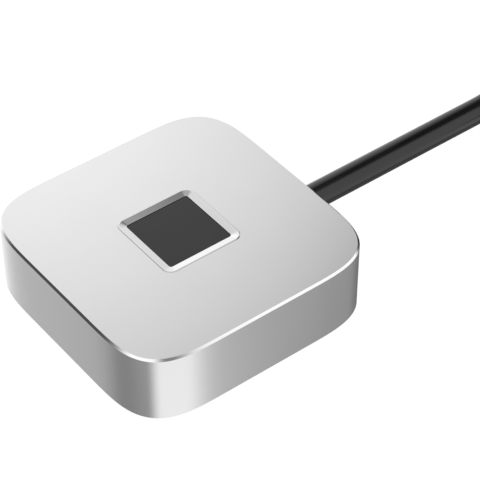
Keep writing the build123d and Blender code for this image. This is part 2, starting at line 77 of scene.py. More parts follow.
# ---------------------------------------------------------------- material tools
class Nodes:
    """A node material built round one Principled shader."""

    def __init__(self, name, **fixed):
        self.material = bpy.data.materials.new(name)
        self.material.use_nodes = True
        self.tree = self.material.node_tree
        self.shader = self.tree.nodes["Principled BSDF"]
        for socket, value in fixed.items():
            title = socket.replace("_", " ").title().replace("Ior", "IOR")
            self.shader.inputs[title].default_value = value
        self.place = self.add("ShaderNodeTexCoord").outputs["Object"]

    def add(self, kind, **settings):
        node = self.tree.nodes.new(kind)
        for key, value in settings.items():
            setattr(node, key, value)
        return node

    def link(self, source, target):
        self.tree.links.new(source, target)

    def stretched(self, scale):
        """The place on the object, stretched by a factor along each axis."""
        mapping = self.add("ShaderNodeMapping")
        mapping.inputs["Scale"].default_value = scale
        self.link(self.place, mapping.inputs["Vector"])
        return mapping.outputs["Vector"]

    def noise(self, size, detail=3.0, stretch=(1, 1, 1)):
        """Noise with grains of the given size in metres."""
        texture = self.add("ShaderNodeTexNoise")
        texture.inputs["Scale"].default_value = 1 / size
        texture.inputs["Detail"].default_value = detail
        self.link(self.stretched(stretch), texture.inputs["Vector"])
        return texture.outputs["Fac"]

    def ramp(self, source, low, high, from_low=0.3, from_high=0.7):
        """A value spread from its usual range onto low to high."""
        spread = self.add("ShaderNodeMapRange")
        spread.inputs["From Min"].default_value = from_low
        spread.inputs["From Max"].default_value = from_high
        spread.inputs["To Min"].default_value = low
        spread.inputs["To Max"].default_value = high
        self.link(source, spread.inputs["Value"])
        return spread.outputs["Result"]

    def color(self, source, *colors):
        """Blends evenly spaced colours by a value from 0 to 1, into the shader's base colour."""
        blend = self.add("ShaderNodeValToRGB")
        stops = blend.color_ramp.elements
        while len(stops) < len(colors):
            stops.new(0.5)
        for step, shade in enumerate(colors):
            stops[step].position = step / (len(colors) - 1)
            stops[step].color = (*shade, 1)
        self.link(source, blend.inputs["Fac"])
        self.link(blend.outputs["Color"], self.shader.inputs["Base Color"])

    def roughness(self, source, low, high):
        self.link(self.ramp(source, low, high), self.shader.inputs["Roughness"])

    def bump(self, source, height, strength=1.0):
        """Raises the surface by a height in metres where the source is 1."""
        bump = self.add("ShaderNodeBump")
        bump.inputs["Strength"].default_value = strength
        bump.inputs["Distance"].default_value = height
        self.link(source, bump.inputs["Height"])
        self.link(bump.outputs["Normal"], self.shader.inputs["Normal"])


def grey(value):
    return (value, value, value)


def tinted(color, factor):
    return tuple(min(1.0, channel * factor) for channel in color)


DRIFT_PER_GRAIN = 40  # how much larger the slow drift of a colour is than the grain


def grained(name, color, rough, grain, relief, variation=0.12, **fixed):
    """A moulded or coated surface: fine grain in its relief and gloss, slow drift in its colour."""
    nodes = Nodes(name, **fixed)
    fine = nodes.noise(grain, 4.0)
    slow = nodes.noise(grain * DRIFT_PER_GRAIN, 2.0)
    darker, lighter = tinted(color, 1 - variation), tinted(color, 1 + variation)
    nodes.color(nodes.ramp(slow, 0, 1), darker, color, lighter)
    nodes.roughness(fine, rough * 0.9, rough * 1.1)
    nodes.bump(fine, relief)
    return nodes.material


def aluminium():
    """Bead-blasted, clear anodised aluminium."""
    nodes = Nodes("blasted_aluminium", metallic=1.0)
    fine = nodes.noise(0.07 * MM, 4.0)
    slow = nodes.noise(9 * MM, 2.0)
    nodes.color(nodes.ramp(slow, 0, 1), grey(0.758), grey(0.768))
    nodes.roughness(fine, 0.20, 0.24)
    nodes.bump(fine, 0.0004 * MM)
    return nodes.material


def bright_cut(name, rough, shade):
    """Diamond-cut aluminium with the faint lines of the cutter."""
    nodes = Nodes(name, metallic=1.0)
    lines = nodes.noise(0.02 * MM, 2.0, (1, 1, 4))
    slow = nodes.noise(5 * MM, 2.0)
    nodes.color(nodes.ramp(slow, 0, 1), grey(shade * 0.985), grey(shade))
    nodes.roughness(lines, rough * 0.85, rough * 1.15)
    return nodes.material


def metal(name, color, rough, grain=0.3 * MM, stretch=(1, 1, 1)):
    """Plated or rolled metal: even in colour, uneven in gloss."""
    nodes = Nodes(name, metallic=1.0)
    fine = nodes.noise(grain, 3.0, stretch)
    nodes.color(nodes.ramp(fine, 0, 1), tinted(color, 0.94), color)
    nodes.roughness(fine, rough * 0.8, rough * 1.25)
    nodes.bump(fine, 0.002 * MM, 0.4)
    return nodes.material


def sheath(name):
    """Black extruded PVC: satin, with the fine grain of its skin."""
    nodes = Nodes(name, ior=1.55)
    fine = nodes.noise(0.12 * MM, 4.0)
    slow = nodes.noise(6 * MM, 3.0)
    nodes.color(nodes.ramp(slow, 0, 1), grey(0.0045), grey(0.0060))
    nodes.roughness(fine, 0.20, 0.26)
    nodes.bump(fine, 0.0015 * MM, 0.5)
    return nodes.material


def sensor_face():
    """Dark satin coating over the sensor, with the faint grid of its cells."""
    nodes = Nodes("sensor_coating", ior=1.5)
    fine = nodes.noise(0.05 * MM, 3.0)
    slow = nodes.noise(4 * MM, 2.0)
    nodes.color(nodes.ramp(slow, 0, 1), grey(0.0075), grey(0.0090))
    nodes.roughness(fine, 0.28, 0.34)
    cells = nodes.add("ShaderNodeTexBrick", offset=0.0, squash=1.0)
    cells.inputs["Scale"].default_value = 1 / (0.4 * MM)
    cells.inputs["Mortar Size"].default_value = 0.04
    cells.inputs["Brick Width"].default_value = 1.0
    cells.inputs["Row Height"].default_value = 1.0
    nodes.link(nodes.place, cells.inputs["Vector"])
    nodes.bump(cells.outputs["Fac"], -0.0003 * MM, 0.3)
    return nodes.material


def solder_mask():
    """Green solder mask over copper tracks."""
    nodes = Nodes("solder_mask", roughness=0.35, ior=1.5)
    tracks = nodes.add("ShaderNodeTexBrick", offset=0.5, squash=1.0)
    tracks.inputs["Scale"].default_value = 1 / (2.4 * MM)
    tracks.inputs["Mortar Size"].default_value = 0.045
    nodes.link(nodes.place, tracks.inputs["Vector"])
    nodes.color(tracks.outputs["Fac"], (0.008, 0.060, 0.022), (0.020, 0.130, 0.050))
    nodes.bump(tracks.outputs["Fac"], 0.02 * MM, 0.5)
    return nodes.material


def foam(name, color):
    """Open-cell foam, with painted shade in the hollows of its cells."""
    nodes = Nodes(name, roughness=0.95)
    cells = nodes.add("ShaderNodeTexVoronoi")
    cells.inputs["Scale"].default_value = 1 / (0.12 * MM)
    nodes.link(nodes.place, cells.inputs["Vector"])
    # Painted shade: the colour darkens towards the middle of each cell, where the relief is lowest.
    nodes.color(nodes.ramp(cells.outputs["Distance"], 0, 1, 0, 0.8), tinted(color, 0.4), color)
    nodes.bump(cells.outputs["Distance"], 0.03 * MM, 0.8)
    return nodes.material


def loop_fabric(middle, nap_half):
    """Black hook-and-loop strap: a nap of tiny loops between two finely woven edges, with painted shade
    in its low places and painted highlight on its raised loops and threads.
    """
    nodes = Nodes(
        "loop_fabric", roughness=0.85, sheen_weight=0.35, sheen_roughness=0.4, specular_ior_level=0.2
    )
    split = nodes.add("ShaderNodeSeparateXYZ")
    nodes.link(nodes.place, split.inputs["Vector"])
    off_middle = nodes.add("ShaderNodeMath", operation="SUBTRACT")
    off_middle.inputs[1].default_value = middle
    nodes.link(split.outputs["X"], off_middle.inputs[0])
    out = nodes.add("ShaderNodeMath", operation="ABSOLUTE")
    nodes.link(off_middle.outputs["Value"], out.inputs[0])
    woven = nodes.ramp(out.outputs["Value"], 0, 1, nap_half, nap_half + 0.15 * MM)
    fuzz = nodes.ramp(nodes.noise(0.13 * MM, 8.0), 0.0, 0.75)
    tufts = nodes.add("ShaderNodeTexVoronoi")
    tufts.inputs["Scale"].default_value = 1 / (0.22 * MM)
    nodes.link(nodes.place, tufts.inputs["Vector"])
    nap = nodes.add("ShaderNodeMath", operation="MULTIPLY_ADD")
    nap.inputs[1].default_value = 0.35
    nodes.link(tufts.outputs["Distance"], nap.inputs[0])
    nodes.link(fuzz, nap.inputs[2])
    weave = nodes.add("ShaderNodeTexBrick", offset=0.5, squash=1.0)
    weave.inputs["Scale"].default_value = 1 / (0.30 * MM)
    weave.inputs["Mortar Size"].default_value = 0.10
    weave.inputs["Brick Width"].default_value = 1.6
    weave.inputs["Row Height"].default_value = 0.8
    nodes.link(nodes.place, weave.inputs["Vector"])
    relief = nodes.add("ShaderNodeMix", data_type="FLOAT")
    nodes.link(woven, relief.inputs["Factor"])
    nodes.link(nap.outputs["Value"], relief.inputs["A"])
    nodes.link(nodes.ramp(weave.outputs["Fac"], 0.45, 0.2, 0, 1), relief.inputs["B"])
    # Painted shade and highlight: the colour follows the relief, near black in the low places between
    # loops and threads and grey on their raised tops.
    painted_light_by_height = nodes.ramp(relief.outputs["Result"], 0, 1, 0.1, 0.95)
    nodes.color(painted_light_by_height, grey(0.005), grey(0.020), grey(0.085))
    nodes.bump(relief.outputs["Result"], 0.12 * MM)
    return nodes.material


# ---------------------------------------------------------------- mesh tools
CORNER_STEPS = 28
FLAT_STEPS = 8
SHARP = math.radians(28)


def around(corner):
    """A closed loop: one corner, from its +X side to its +Y side, turned to all four, and the flats."""
    x, y = corner[-1]
    flat = [(x * (1 - 2 * step / FLAT_STEPS), y) for step in range(1, FLAT_STEPS)]
    loop = []
    for quarter in range(4):
        c, s = round(math.cos(quarter * math.pi / 2)), round(math.sin(quarter * math.pi / 2))
        loop += [(px * c - py * s, px * s + py * c) for px, py in corner + flat]
    return loop


def round_loop(half, radius):
    """A square of the given half width with round corners."""
    turn = [math.pi / 2 * step / CORNER_STEPS for step in range(CORNER_STEPS + 1)]
    middle = half - radius
    return around([(middle + radius * math.cos(t), middle + radius * math.sin(t)) for t in turn])


def soft_loop(inset):
    """The housing's plan, inset from its outer faces: soft corner curves that ease into the flats."""
    half = SIDE / 2 - inset
    run = CORNER_RUN - INSET_SHORTENING * inset
    flat = half - run
    near, far = (flat + pull * run for pull in CORNER_PULLS)
    handles = [(half, flat), (half, near), (half, far), (far, half), (near, half), (flat, half)]
    corner = []
    for step in range(CORNER_STEPS + 1):
        t = step / CORNER_STEPS
        shares = [math.comb(5, k) * (1 - t) ** (5 - k) * t**k for k in range(6)]
        corner.append(tuple(sum(w * p[axis] for w, p in zip(shares, handles)) for axis in (0, 1)))
    return around(corner)


def oval_loop(width, height, radius, steps=12):
    """A rectangle with round corners, or a circle where both sides are twice the radius."""
    loop = []
    for quarter, (sx, sy) in enumerate(((1, 1), (-1, 1), (-1, -1), (1, -1))):
        for step in range(steps + 1):
            t = math.pi / 2 * (quarter + step / steps)
            x = sx * (width / 2 - radius) + radius * math.cos(t)
            y = sy * (height / 2 - radius) + radius * math.sin(t)
            loop.append((x, y))
    return loop


def at_height(loop, z):
    return [(x, y, z) for x, y in loop]


def between(first, last, steps):
    """Rings evenly spaced between two rings, without the two themselves."""
    rings = []
    for step in range(1, steps):
        t = step / steps
        rings.append([tuple(a + (b - a) * t for a, b in zip(p, q)) for p, q in zip(first, last)])
    return rings


def skin(name, rings, materials, bands=None, closed=False, sharp=SHARP):
    """A mesh through a row of rings, closed on itself or capped. Bands number each gap's material."""
    mesh = bmesh.new()
    rows = [[mesh.verts.new(point) for point in ring] for ring in rings]
    gaps = list(zip(rows, rows[1:])) + ([(rows[-1], rows[0])] if closed else [])
    for gap, (row, after) in enumerate(gaps):
        for place in range(len(row)):
            turned = (place + 1) % len(row)
            face = mesh.faces.new((row[place], row[turned], after[turned], after[place]))
            face.material_index = bands[gap] if bands else 0
    if not closed:
        mesh.faces.new(rows[0][::-1])
        mesh.faces.new(rows[-1])
    return piece(name, mesh, materials, sharp)


def piece(name, mesh, materials, sharp=SHARP):
    """Turns a bmesh into a smooth object, with a sharp edge wherever it turns by more than sharp."""
    bmesh.ops.remove_doubles(mesh, verts=mesh.verts, dist=1e-7)
    bmesh.ops.recalc_face_normals(mesh, faces=mesh.faces)
    for face in mesh.faces:
        face.smooth = True
    for edge in mesh.edges:
        edge.smooth = edge.calc_face_angle(0) < sharp
    data = bpy.data.meshes.new(name)
    mesh.to_mesh(data)
    mesh.free()
    for material in materials:
        data.materials.append(material)
    made = bpy.data.objects.new(name, data)
    scene.collection.objects.link(made)
    return made


def add_tube(mesh, centre, outer, inner, low, high, depth, steps=32):
    """A round post with a blind hole of the given depth in its lower end."""
    profile = [(inner, low + depth), (inner, low), (outer, low), (outer, high)]
    turns = [2 * math.pi * step / steps for step in range(steps)]
    x, y = centre
    rows = []
    for radius, z in profile:
        circle = [(x + radius * math.cos(t), y + radius * math.sin(t), z) for t in turns]
        rows.append([mesh.verts.new(point) for point in circle])
    for row, after in zip(rows, rows[1:]):
        for place in range(steps):
            turned = (place + 1) % steps
            mesh.faces.new((row[place], row[turned], after[turned], after[place]))
    mesh.faces.new(rows[0])
    mesh.faces.new(rows[-1])


def finish_piece(made, slot, *nodes):
    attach(made, "root")
    if nodes:
        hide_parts(*nodes)
    return made


# ---------------------------------------------------------------- cord
LEAD = 4.1 * MM
STRAIGHT_FULLNESS = 1.022  # the straight run is a little fuller than the wound one

# Its route and its coil, in millimetres
LEAD_ROUTE = [(0, 15, 4.6), (0, 54, 4.6), (0, 64, 4.6), (-4.1, 73.1, 3.3), (-11.5, 79.8, 2.05)]
STRAIGHT_ROUTE = LEAD_ROUTE[:3]
TAIL_ROUTE = [(35.7, 93.0, 6.0), (35.7, 85.0, 3.9), (35.7, 77.0, 3.9)]
COIL_MIDDLE = (8.005, 101.463)
COIL_START = math.radians(228)
COIL_TURNS = 6.66
POINTS_PER_TURN = 16
TURNS_BELOW = 3  # then one turn climbs, and the others lie on top
OUTER_TURN = 29.15
INNER_TURN = 16.85
PITCH = 4.1
CLIMB_CUT = 0.45 * PITCH  # how far the climbing turn cuts inside the others
TIE_MIDDLE = 21.4
TIE_ANGLE = math.radians(90)
TIE_REACH = math.radians(32)  # how far from the tie the turns are drawn together
TIE_PULL = 0.052  # a share of each turn's distance from the middle of the bundle
LIFT_BELOW, LIFT_ABOVE = 0.9, 0.4  # how far the tie lifts the turns of each layer


def coil_point(turns):
    """A point of the coil, which runs in along the floor, up at the inside, and out again on top."""
    climbed = min(1.0, max(0.0, turns - TURNS_BELOW))
    if turns < TURNS_BELOW:
        radius = OUTER_TURN - PITCH * turns
    elif climbed < 1:
        radius = INNER_TURN - CLIMB_CUT * math.sin(math.pi * climbed)
    else:
        radius = INNER_TURN + PITCH * (turns - TURNS_BELOW - 1)
    height = PITCH / 2 + PITCH * (1 - math.cos(math.pi * climbed)) / 2
    angle = COIL_START - 2 * math.pi * turns
    off_tie = abs(math.remainder(angle - TIE_ANGLE, 2 * math.pi))
    drawn = 0.5 + 0.5 * math.cos(math.pi * min(1.0, off_tie / TIE_REACH))
    radius += TIE_PULL * drawn * (TIE_MIDDLE - radius)
    height += drawn * (LIFT_BELOW + (LIFT_ABOVE - LIFT_BELOW) * climbed)
    radius /= math.cos(math.pi / POINTS_PER_TURN)  # the curve passes inside its control points
    x, y = COIL_MIDDLE
    return (x + radius * math.cos(angle), y + radius * math.sin(angle), height)


def make_cord():
    """The whole lead as one curve: straight from the housing, round its coil, and on to the plug."""
    coil_points = int(COIL_TURNS * POINTS_PER_TURN)
    coil = [coil_point(step / POINTS_PER_TURN) for step in range(1, coil_points + 1)]
    points = LEAD_ROUTE + coil + TAIL_ROUTE
    curve = bpy.data.curves.new("usb_lead", "CURVE")
    curve.dimensions = "3D"
    spline = curve.splines.new("NURBS")
    spline.points.add(len(points) - 1)
    for target, point in zip(spline.points, points):
        target.co = (*(value * MM for value in point), 1)
        target.radius = STRAIGHT_FULLNESS if point in STRAIGHT_ROUTE else 1.0
    spline.order_u = 3
    spline.use_endpoint_u = True
    spline.use_smooth = True
    curve.resolution_u = 10
    curve.bevel_depth = LEAD / 2
    curve.bevel_resolution = 10
    curve.use_fill_caps = True
    curve.materials.append(sheath("black_sheath"))
    made = bpy.data.objects.new("usb_lead", curve)
    scene.collection.objects.link(made)
    return finish_piece(made, "cable", "usb_cable", "cable_coil", "cable_tail")


lead = make_cord()

# ---------------------------------------------------------------- housing
housing_low, housing_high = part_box("housing")
SIDE = housing_high.x - housing_low.x
CORNER_RUN = SIDE / 3  # along each side, from where its flat ends to the corner of the square
CORNER_PULLS = (0.58, 0.753)  # places of the corner curve's inner handles along that run
INSET_SHORTENING = 1.682  # how much shorter the run is for each unit of inset
BEVEL = 0.31 * MM
WALL = 1.6 * MM
RIM = 1.0 * MM  # the wall below the ledge that the base plate rests on
LEDGE = 2.1 * MM
CEILING = 10.6 * MM
WINDOW_HALF = 6.78 * MM
WINDOW_CORNER = 1.53 * MM

# Screw posts under the housing's top, one in each quarter at x and y, all shifted along Y
BASE_POST = {"x": 14.6, "y": 14.6, "shift": 0, "radius": 2.1, "bore": 0.84, "low": 2.1, "depth": 5.2}
BOARD_POST = {"x": 14.2, "y": 7, "shift": -2.5, "radius": 1.9, "bore": 0.84, "low": 4.4, "depth": 4}
RETAINER_POST = {"x": 10.4, "y": 6, "shift": 0, "radius": 1.5, "bore": 0.72, "low": 9.15, "depth": 1.2}


def make_housing():
    """The aluminium shell: blasted walls and top, bright-cut bevel, window, ledge and screw posts."""
    low, high = housing_low.z, housing_high.z
    edge = 0.06 * MM
    top_rings = 5
    window = round_loop(WINDOW_HALF, WINDOW_CORNER)
    rings = [
        at_height(soft_loop(RIM), low),
        at_height(soft_loop(edge), low),
        at_height(soft_loop(0), low + edge),
        at_height(soft_loop(0), high - BEVEL),
        at_height(soft_loop(BEVEL), high),
    ]
    bands = [0, 0, 0, 1]
    across = between(rings[-1], at_height(window, high), top_rings)
    rings += across + [at_height(window, high), at_height(window, CEILING)]
    bands += [0] * (len(across) + 2)
    rings += [
        at_height(soft_loop(WALL), CEILING),
        at_height(soft_loop(WALL), LEDGE),
        at_height(soft_loop(RIM), LEDGE),
    ]
    bands += [0] * 4
    finishes = [aluminium(), bright_cut("bright_bevel", 0.09, 0.92)]
    made = skin("housing_shell", rings, finishes, bands, closed=True)
    with_posts = bmesh.new()
    with_posts.from_mesh(made.data)
    for sx in (-1, 1):
        for sy in (-1, 1):
            for post in (BASE_POST, BOARD_POST, RETAINER_POST):
                add_tube(
                    with_posts,
                    centre=(sx * post["x"] * MM, (sy * post["y"] + post["shift"]) * MM),
                    outer=post["radius"] * MM,
                    inner=post["bore"] * MM,
                    low=post["low"] * MM,
                    high=CEILING,
                    depth=post["depth"] * MM,
                )
    with_posts.to_mesh(made.data)
    with_posts.free()
    return finish_piece(made, "housing", "housing")


def make_bezel():
    """The polished bezel: a flange under the top, a narrow land, and a slope down to the sensor."""
    low, high = (corner.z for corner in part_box("sensor_bezel"))
    land = high + 0.06 * MM
    rise_run = 0.13 * MM
    slope_drop = 0.209 * MM
    slope_rings = 6
    pocket_top = CEILING + 0.2 * MM
    outer = WINDOW_HALF - 0.004 * MM
    flange = round_loop(8.5 * MM, 2.0 * MM)
    collar = round_loop(outer, 1.5 * MM)
    opening = round_loop(5.50 * MM, 0.42 * MM)
    pocket = round_loop(6.4 * MM, 0.6 * MM)
    slope_top = at_height(round_loop(6.56 * MM, 1.35 * MM), land)
    slope_end = at_height(opening, land - slope_drop)
    rings = [
        at_height(flange, low),
        at_height(flange, CEILING),
        at_height(collar, CEILING),
        at_height(collar, high),
        at_height(round_loop(outer - rise_run, 1.36 * MM), land),
        slope_top,
        *between(slope_top, slope_end, slope_rings),
        slope_end,
        at_height(opening, pocket_top),
        at_height(pocket, pocket_top),
        at_height(pocket, low),
    ]
    finish = bright_cut("polished_slope", 0.10, 0.80)
    made = skin("polished_bezel", rings, [finish], closed=True, sharp=math.radians(5))
    return finish_piece(made, "bright_cut", "sensor_bezel")


def make_sensor_face():
    """The coated face that the finger touches, with its edge just broken."""
    low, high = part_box("sensor_cover")
    corner = 0.40 * MM
    edge = 0.02 * MM
    outline = round_loop(high.x, corner)
    rings = [
        at_height(outline, low.z),
        at_height(outline, high.z - edge),
        at_height(round_loop(high.x - edge, corner - edge), high.z),
    ]
    made = skin("sensor_face", rings, [sensor_face()])
    return finish_piece(made, "sensor", "sensor_cover")


def make_foot():
    """The soft foot: a plate with rounded edges and a shallow moulded groove round its underside."""
    low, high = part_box("rubber_foot")
    side_inset = SIDE / 2 - high.x
    groove = 0.25
    edge = [(0, 0.35), (0.1, 0.1), (0.35, 0)]
    underside = [(2.0, 0), (2.2, groove), (3.0, groove), (3.2, 0), (4.5, 0)]
    profile = [(side_inset, high.z)]
    profile += [(side_inset + inward * MM, low.z + up * MM) for inward, up in edge + underside]
    rings = [at_height(soft_loop(inset), z) for inset, z in profile]
    rubber = grained("foot_rubber", grey(0.030), 0.75, 0.06 * MM, 0.006 * MM, ior=1.45)
    return finish_piece(skin("soft_foot", rings, [rubber]), "foot", "rubber_foot")


def make_cushion():
    """The foam pad behind the sensor, its sides bulged by the squeeze between its neighbours."""
    low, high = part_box("sensor_cushion")
    corner = 1.0 * MM
    bulge = 0.22 * MM
    steps = 8
    rings = []
    for step in range(steps + 1):
        t = step / steps
        half = high.x - bulge + bulge * math.sin(math.pi * t)
        rings.append(at_height(round_loop(half, corner), low.z + (high.z - low.z) * t))
    made = skin("foam_cushion", rings, [foam("silicone_foam", grey(0.05))])
    return finish_piece(made, "cushion", "sensor_cushion")


make_housing()
make_bezel()
make_sensor_face()
make_foot()
make_cushion()


# ---------------------------------------------------------------- pieces on the lead
def make_gland():
    """The rubber gland: a flange and neck in the rear wall, and a short ribbed collar outside it."""
    axis = LEAD_ROUTE[0][2]
    floor = 2.2  # the flange and neck are cut flat above the base plate
    hole = 2.11
    flange = 4.2
    neck = 2.8
    wall = SIDE / 2 / MM
    profile = [(hole, wall - 3.2), (flange, wall - 3.2), (flange, wall - 1.6), (neck, wall - 1.6)]
    profile += [(neck, wall - 0.01)]
    first_rib = [(3.22, 0), (3.3, 0.08), (3.3, 0.5), (3.2, 0.6), (2.85, 0.65)]
    second_rib = [(2.85, 0.95), (3.0, 1.0), (3.04, 1.1), (2.98, 1.5), (2.62, 1.55)]
    last_rib = [(2.62, 1.85), (2.78, 1.9), (2.74, 2.2), (2.6, 2.34), (2.4, 2.4), (hole, 2.4)]
    profile += [(radius, wall + out) for radius, out in first_rib + second_rib + last_rib]
    rings = []
    for radius, y in profile:
        circle = oval_loop(2 * radius, 2 * radius, radius, 14)
        lowest = floor if y < wall else 0
        rings.append([(x * MM, y * MM, max(axis + z, lowest) * MM) for x, z in circle])
    rubber = grained("gland_rubber", grey(0.022), 0.5, 0.08 * MM, 0.004 * MM, ior=1.45)
    made = skin("ribbed_gland", rings, [rubber], closed=True)
    return finish_piece(made, "gland", "cable_gland")


def make_tie():
    """The hook-and-loop strap, wrapped once round the bundle and pressed down over its own start."""
    low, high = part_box("cable_tie")
    middle_y, middle_z = (low.y + high.y) / 2 / MM, (low.z + high.z) / 2 / MM
    thick, width, edge = 0.9, 8.0, 0.3
    bundle_width, bundle_height, corner = 15.9, 7.7, 2.1
    corner_steps = 16
    section = oval_loop(width, thick, edge, 3)
    once = len(oval_loop(1, 1, 0.1, corner_steps))
    rise_steps = 12  # over which the strap climbs onto its own start
    flat_steps, flat_share = 5, 0.11  # its end on the flat top: steps, and each step's share of it
    rings = []
    for step in range(once + corner_steps + flat_steps):
        over = min(1.0, max(0.0, (step - once + rise_steps) / rise_steps))
        grow = over * over * (3 - 2 * over)
        on_flat = max(0, step - once - corner_steps)
        share = flat_share * on_flat
        faces = []
        for out in (grow, grow + thick):
            sides = bundle_width + 2 * out, bundle_height + 2 * out
            path = oval_loop(*sides, corner + out, corner_steps)
            y0, z0 = path[(step - on_flat) % once]
            y1, z1 = path[corner_steps + 1]
            faces.append((y0 + (y1 - y0) * share, z0 + (z1 - z0) * share))
        (inner_y, inner_z), (outer_y, outer_z) = faces
        ring = []
        for x, across in section:
            t = 0.5 + across / thick
            y = middle_y + inner_y + (outer_y - inner_y) * t
            z = middle_z + inner_z + (outer_z - inner_z) * t
            ring.append(((COIL_MIDDLE[0] + x) * MM, y * MM, z * MM))
        rings.append(ring)
    made = skin("strap_tie", rings, [loop_fabric(COIL_MIDDLE[0] * MM, 3.3 * MM)])
    return finish_piece(made, "tie", "cable_tie")


def make_overmould():
    """The moulded plug body: a ribbed strain relief, rounded shoulders and shallow grip steps."""
    low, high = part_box("plug_overmould")
    x0, z0 = TAIL_ROUTE[-1][0], TAIL_ROUTE[-1][2]
    back, front = high.y / MM, low.y / MM
    shoulder = back - 5.4
    width, height, corner = 15.4, 7.8, 1.9
    ribs, first_rib, rib_pitch = 4, 0.8, 1.15
    rib_size, rib_growth, groove_depth = 5.6, 0.3, 0.45
    grips, first_grip, grip_pitch, grip_depth = 5, 4.2, 1.7, 0.3
    shoulder_radius, shoulder_steps = 1.1, 5
    front_radius, front_steps = 0.5, 4

    sections = [(back, 4.8, 4.8, 2.4), (back - 0.25, 5.4, 5.4, 2.7)]
    for rib in range(ribs):
        start = back - first_rib - rib_pitch * rib
        size = rib_size + rib_growth * rib
        groove = size - 2 * groove_depth
        for along, across in ((0, size), (0.15, groove), (0.5, groove), (0.65, size)):
            sections.append((start - along, across, across, across / 2))
    sections.append((shoulder, 7.0, 7.0, 3.5))
    for step in range(shoulder_steps + 1):
        t = math.pi / 2 * step / shoulder_steps
        inset = shoulder_radius * (1 - math.sin(t))
        y = shoulder - 0.02 - shoulder_radius * (1 - math.cos(t))
        sections.append((y, width - 2 * inset, height - 2 * inset, corner - 0.5 * inset))
    for grip in range(grips):
        start = shoulder - first_grip - grip_pitch * grip
        for along, depth in ((0, 0), (0.2, grip_depth), (0.8, grip_depth), (1.0, 0)):
            sections.append((start - along, width - 2 * depth, height, corner - depth * 2 / 3))
    for step in range(front_steps + 1):
        t = math.pi / 2 * step / front_steps
        inset = front_radius * (1 - math.cos(t))
        y = front + front_radius * (1 - math.sin(t))
        sections.append((y, width - 2 * inset, height - 2 * inset, corner - inset))
    rings = []
    for y, across, up, radius in sections:
        loop = oval_loop(across, up, radius, 10)
        rings.append([((x0 + x) * MM, y * MM, (z0 + z) * MM) for x, z in loop])
    plastic = grained("plug_plastic", grey(0.022), 0.42, 0.10 * MM, 0.006 * MM, ior=1.5)
    made = skin("moulded_plug", rings, [plastic])
    return finish_piece(made, "plug", "plug_overmould")


plug_pieces = ["plug_shell", "plug_tongue", "plug_contacts"]
plug_body = make_overmould()
for piece_on_plug in [plug_body] + [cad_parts[name] for name in plug_pieces]:
    piece_on_plug.visible_glossy = False  # keeps its streak out of the straight lead beside it
on_lead = [make_gland(), make_tie(), plug_body, *plug_pieces]

# ---------------------------------------------------------------- materials of the CAD nodes
steel = metal("zinc_plate", grey(0.55), 0.32, 0.2 * MM)
ivory = grained("ivory_nylon", (0.62, 0.58, 0.46), 0.45, 0.15 * MM, 0.004 * MM, ior=1.5)
epoxy = grained("black_epoxy", grey(0.018), 0.55, 0.05 * MM, 0.004 * MM, ior=1.5)
tin = metal("tinned_copper", grey(0.62), 0.38, 0.1 * MM)
black_nylon = grained("black_nylon", grey(0.020), 0.6, 0.12 * MM, 0.006 * MM, ior=1.5)
FINISHES = {
    "sensor_package": epoxy,
    "sensor_gasket": foam("gasket_foam", grey(0.03)),
    "sensor_flex": grained("polyimide", (0.30, 0.13, 0.02), 0.30, 0.4 * MM, 0.002 * MM, ior=1.6),
    "sensor_stiffener": metal("rolled_stainless", grey(0.58), 0.28, 0.1 * MM, (8, 1, 1)),
    "sensor_retainer": black_nylon,
    "retainer_screws": steel,
    "main_board": solder_mask(),
    "board_screws": steel,
    "controller_chip": epoxy,
    "flash_chip": epoxy,
    "crystal": metal("crystal_can", (0.70, 0.68, 0.62), 0.25, 0.3 * MM),
    "voltage_regulator": epoxy,
    "esd_array": epoxy,
    "passive_parts": grained("ceramic", (0.32, 0.22, 0.14), 0.5, 0.1 * MM, 0.003 * MM, ior=1.6),
    "flex_connector": ivory,
    "connector_latch": black_nylon,
    "cable_header": ivory,
    "header_pins": tin,
    "crimp_housing": ivory,
    "wire_drain": metal("stranded_tin", grey(0.60), 0.4, 0.05 * MM, (1, 1, 3)),
    "wire_red": grained("red_pvc", (0.50, 0.015, 0.012), 0.4, 0.1 * MM, 0.002 * MM, ior=1.5),
    "wire_white": grained("white_pvc", (0.75, 0.75, 0.72), 0.4, 0.1 * MM, 0.002 * MM, 0.05, ior=1.5),
    "wire_green": grained("green_pvc", (0.015, 0.25, 0.04), 0.4, 0.1 * MM, 0.002 * MM, ior=1.5),
    "wire_black": grained("black_pvc", grey(0.018), 0.4, 0.1 * MM, 0.002 * MM, ior=1.5),
    "base_plate": grained("textured_abs", grey(0.035), 0.55, 0.12 * MM, 0.010 * MM, ior=1.5),
    "base_screws": steel,
    "plug_shell": metal("nickel_plate", (0.72, 0.70, 0.66), 0.20, 0.15 * MM, (1, 4, 1)),
    "plug_tongue": grained("white_pbt", (0.72, 0.72, 0.68), 0.35, 0.2 * MM, 0.002 * MM, 0.04, ior=1.5),
    "plug_contacts": metal("gold_plate", (0.86, 0.60, 0.26), 0.22, 0.1 * MM),
}
ROUNDED_EDGES = {
    "plug_shell": 0.08 * MM,
    "plug_tongue": 0.1 * MM,
    "base_plate": 0.12 * MM,
    "sensor_retainer": 0.1 * MM,
    "cable_header": 0.1 * MM,
}
for node_name, finish in FINISHES.items():
    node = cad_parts[node_name]
    node.data.materials.clear()
    node.data.materials.append(finish)
    if node_name in ROUNDED_EDGES:
        softened = node.modifiers.new("softened", "BEVEL")
        softened.width = ROUNDED_EDGES[node_name]
        softened.segments = 2
        softened.limit_method = "ANGLE"
        softened.angle_limit = math.radians(50)


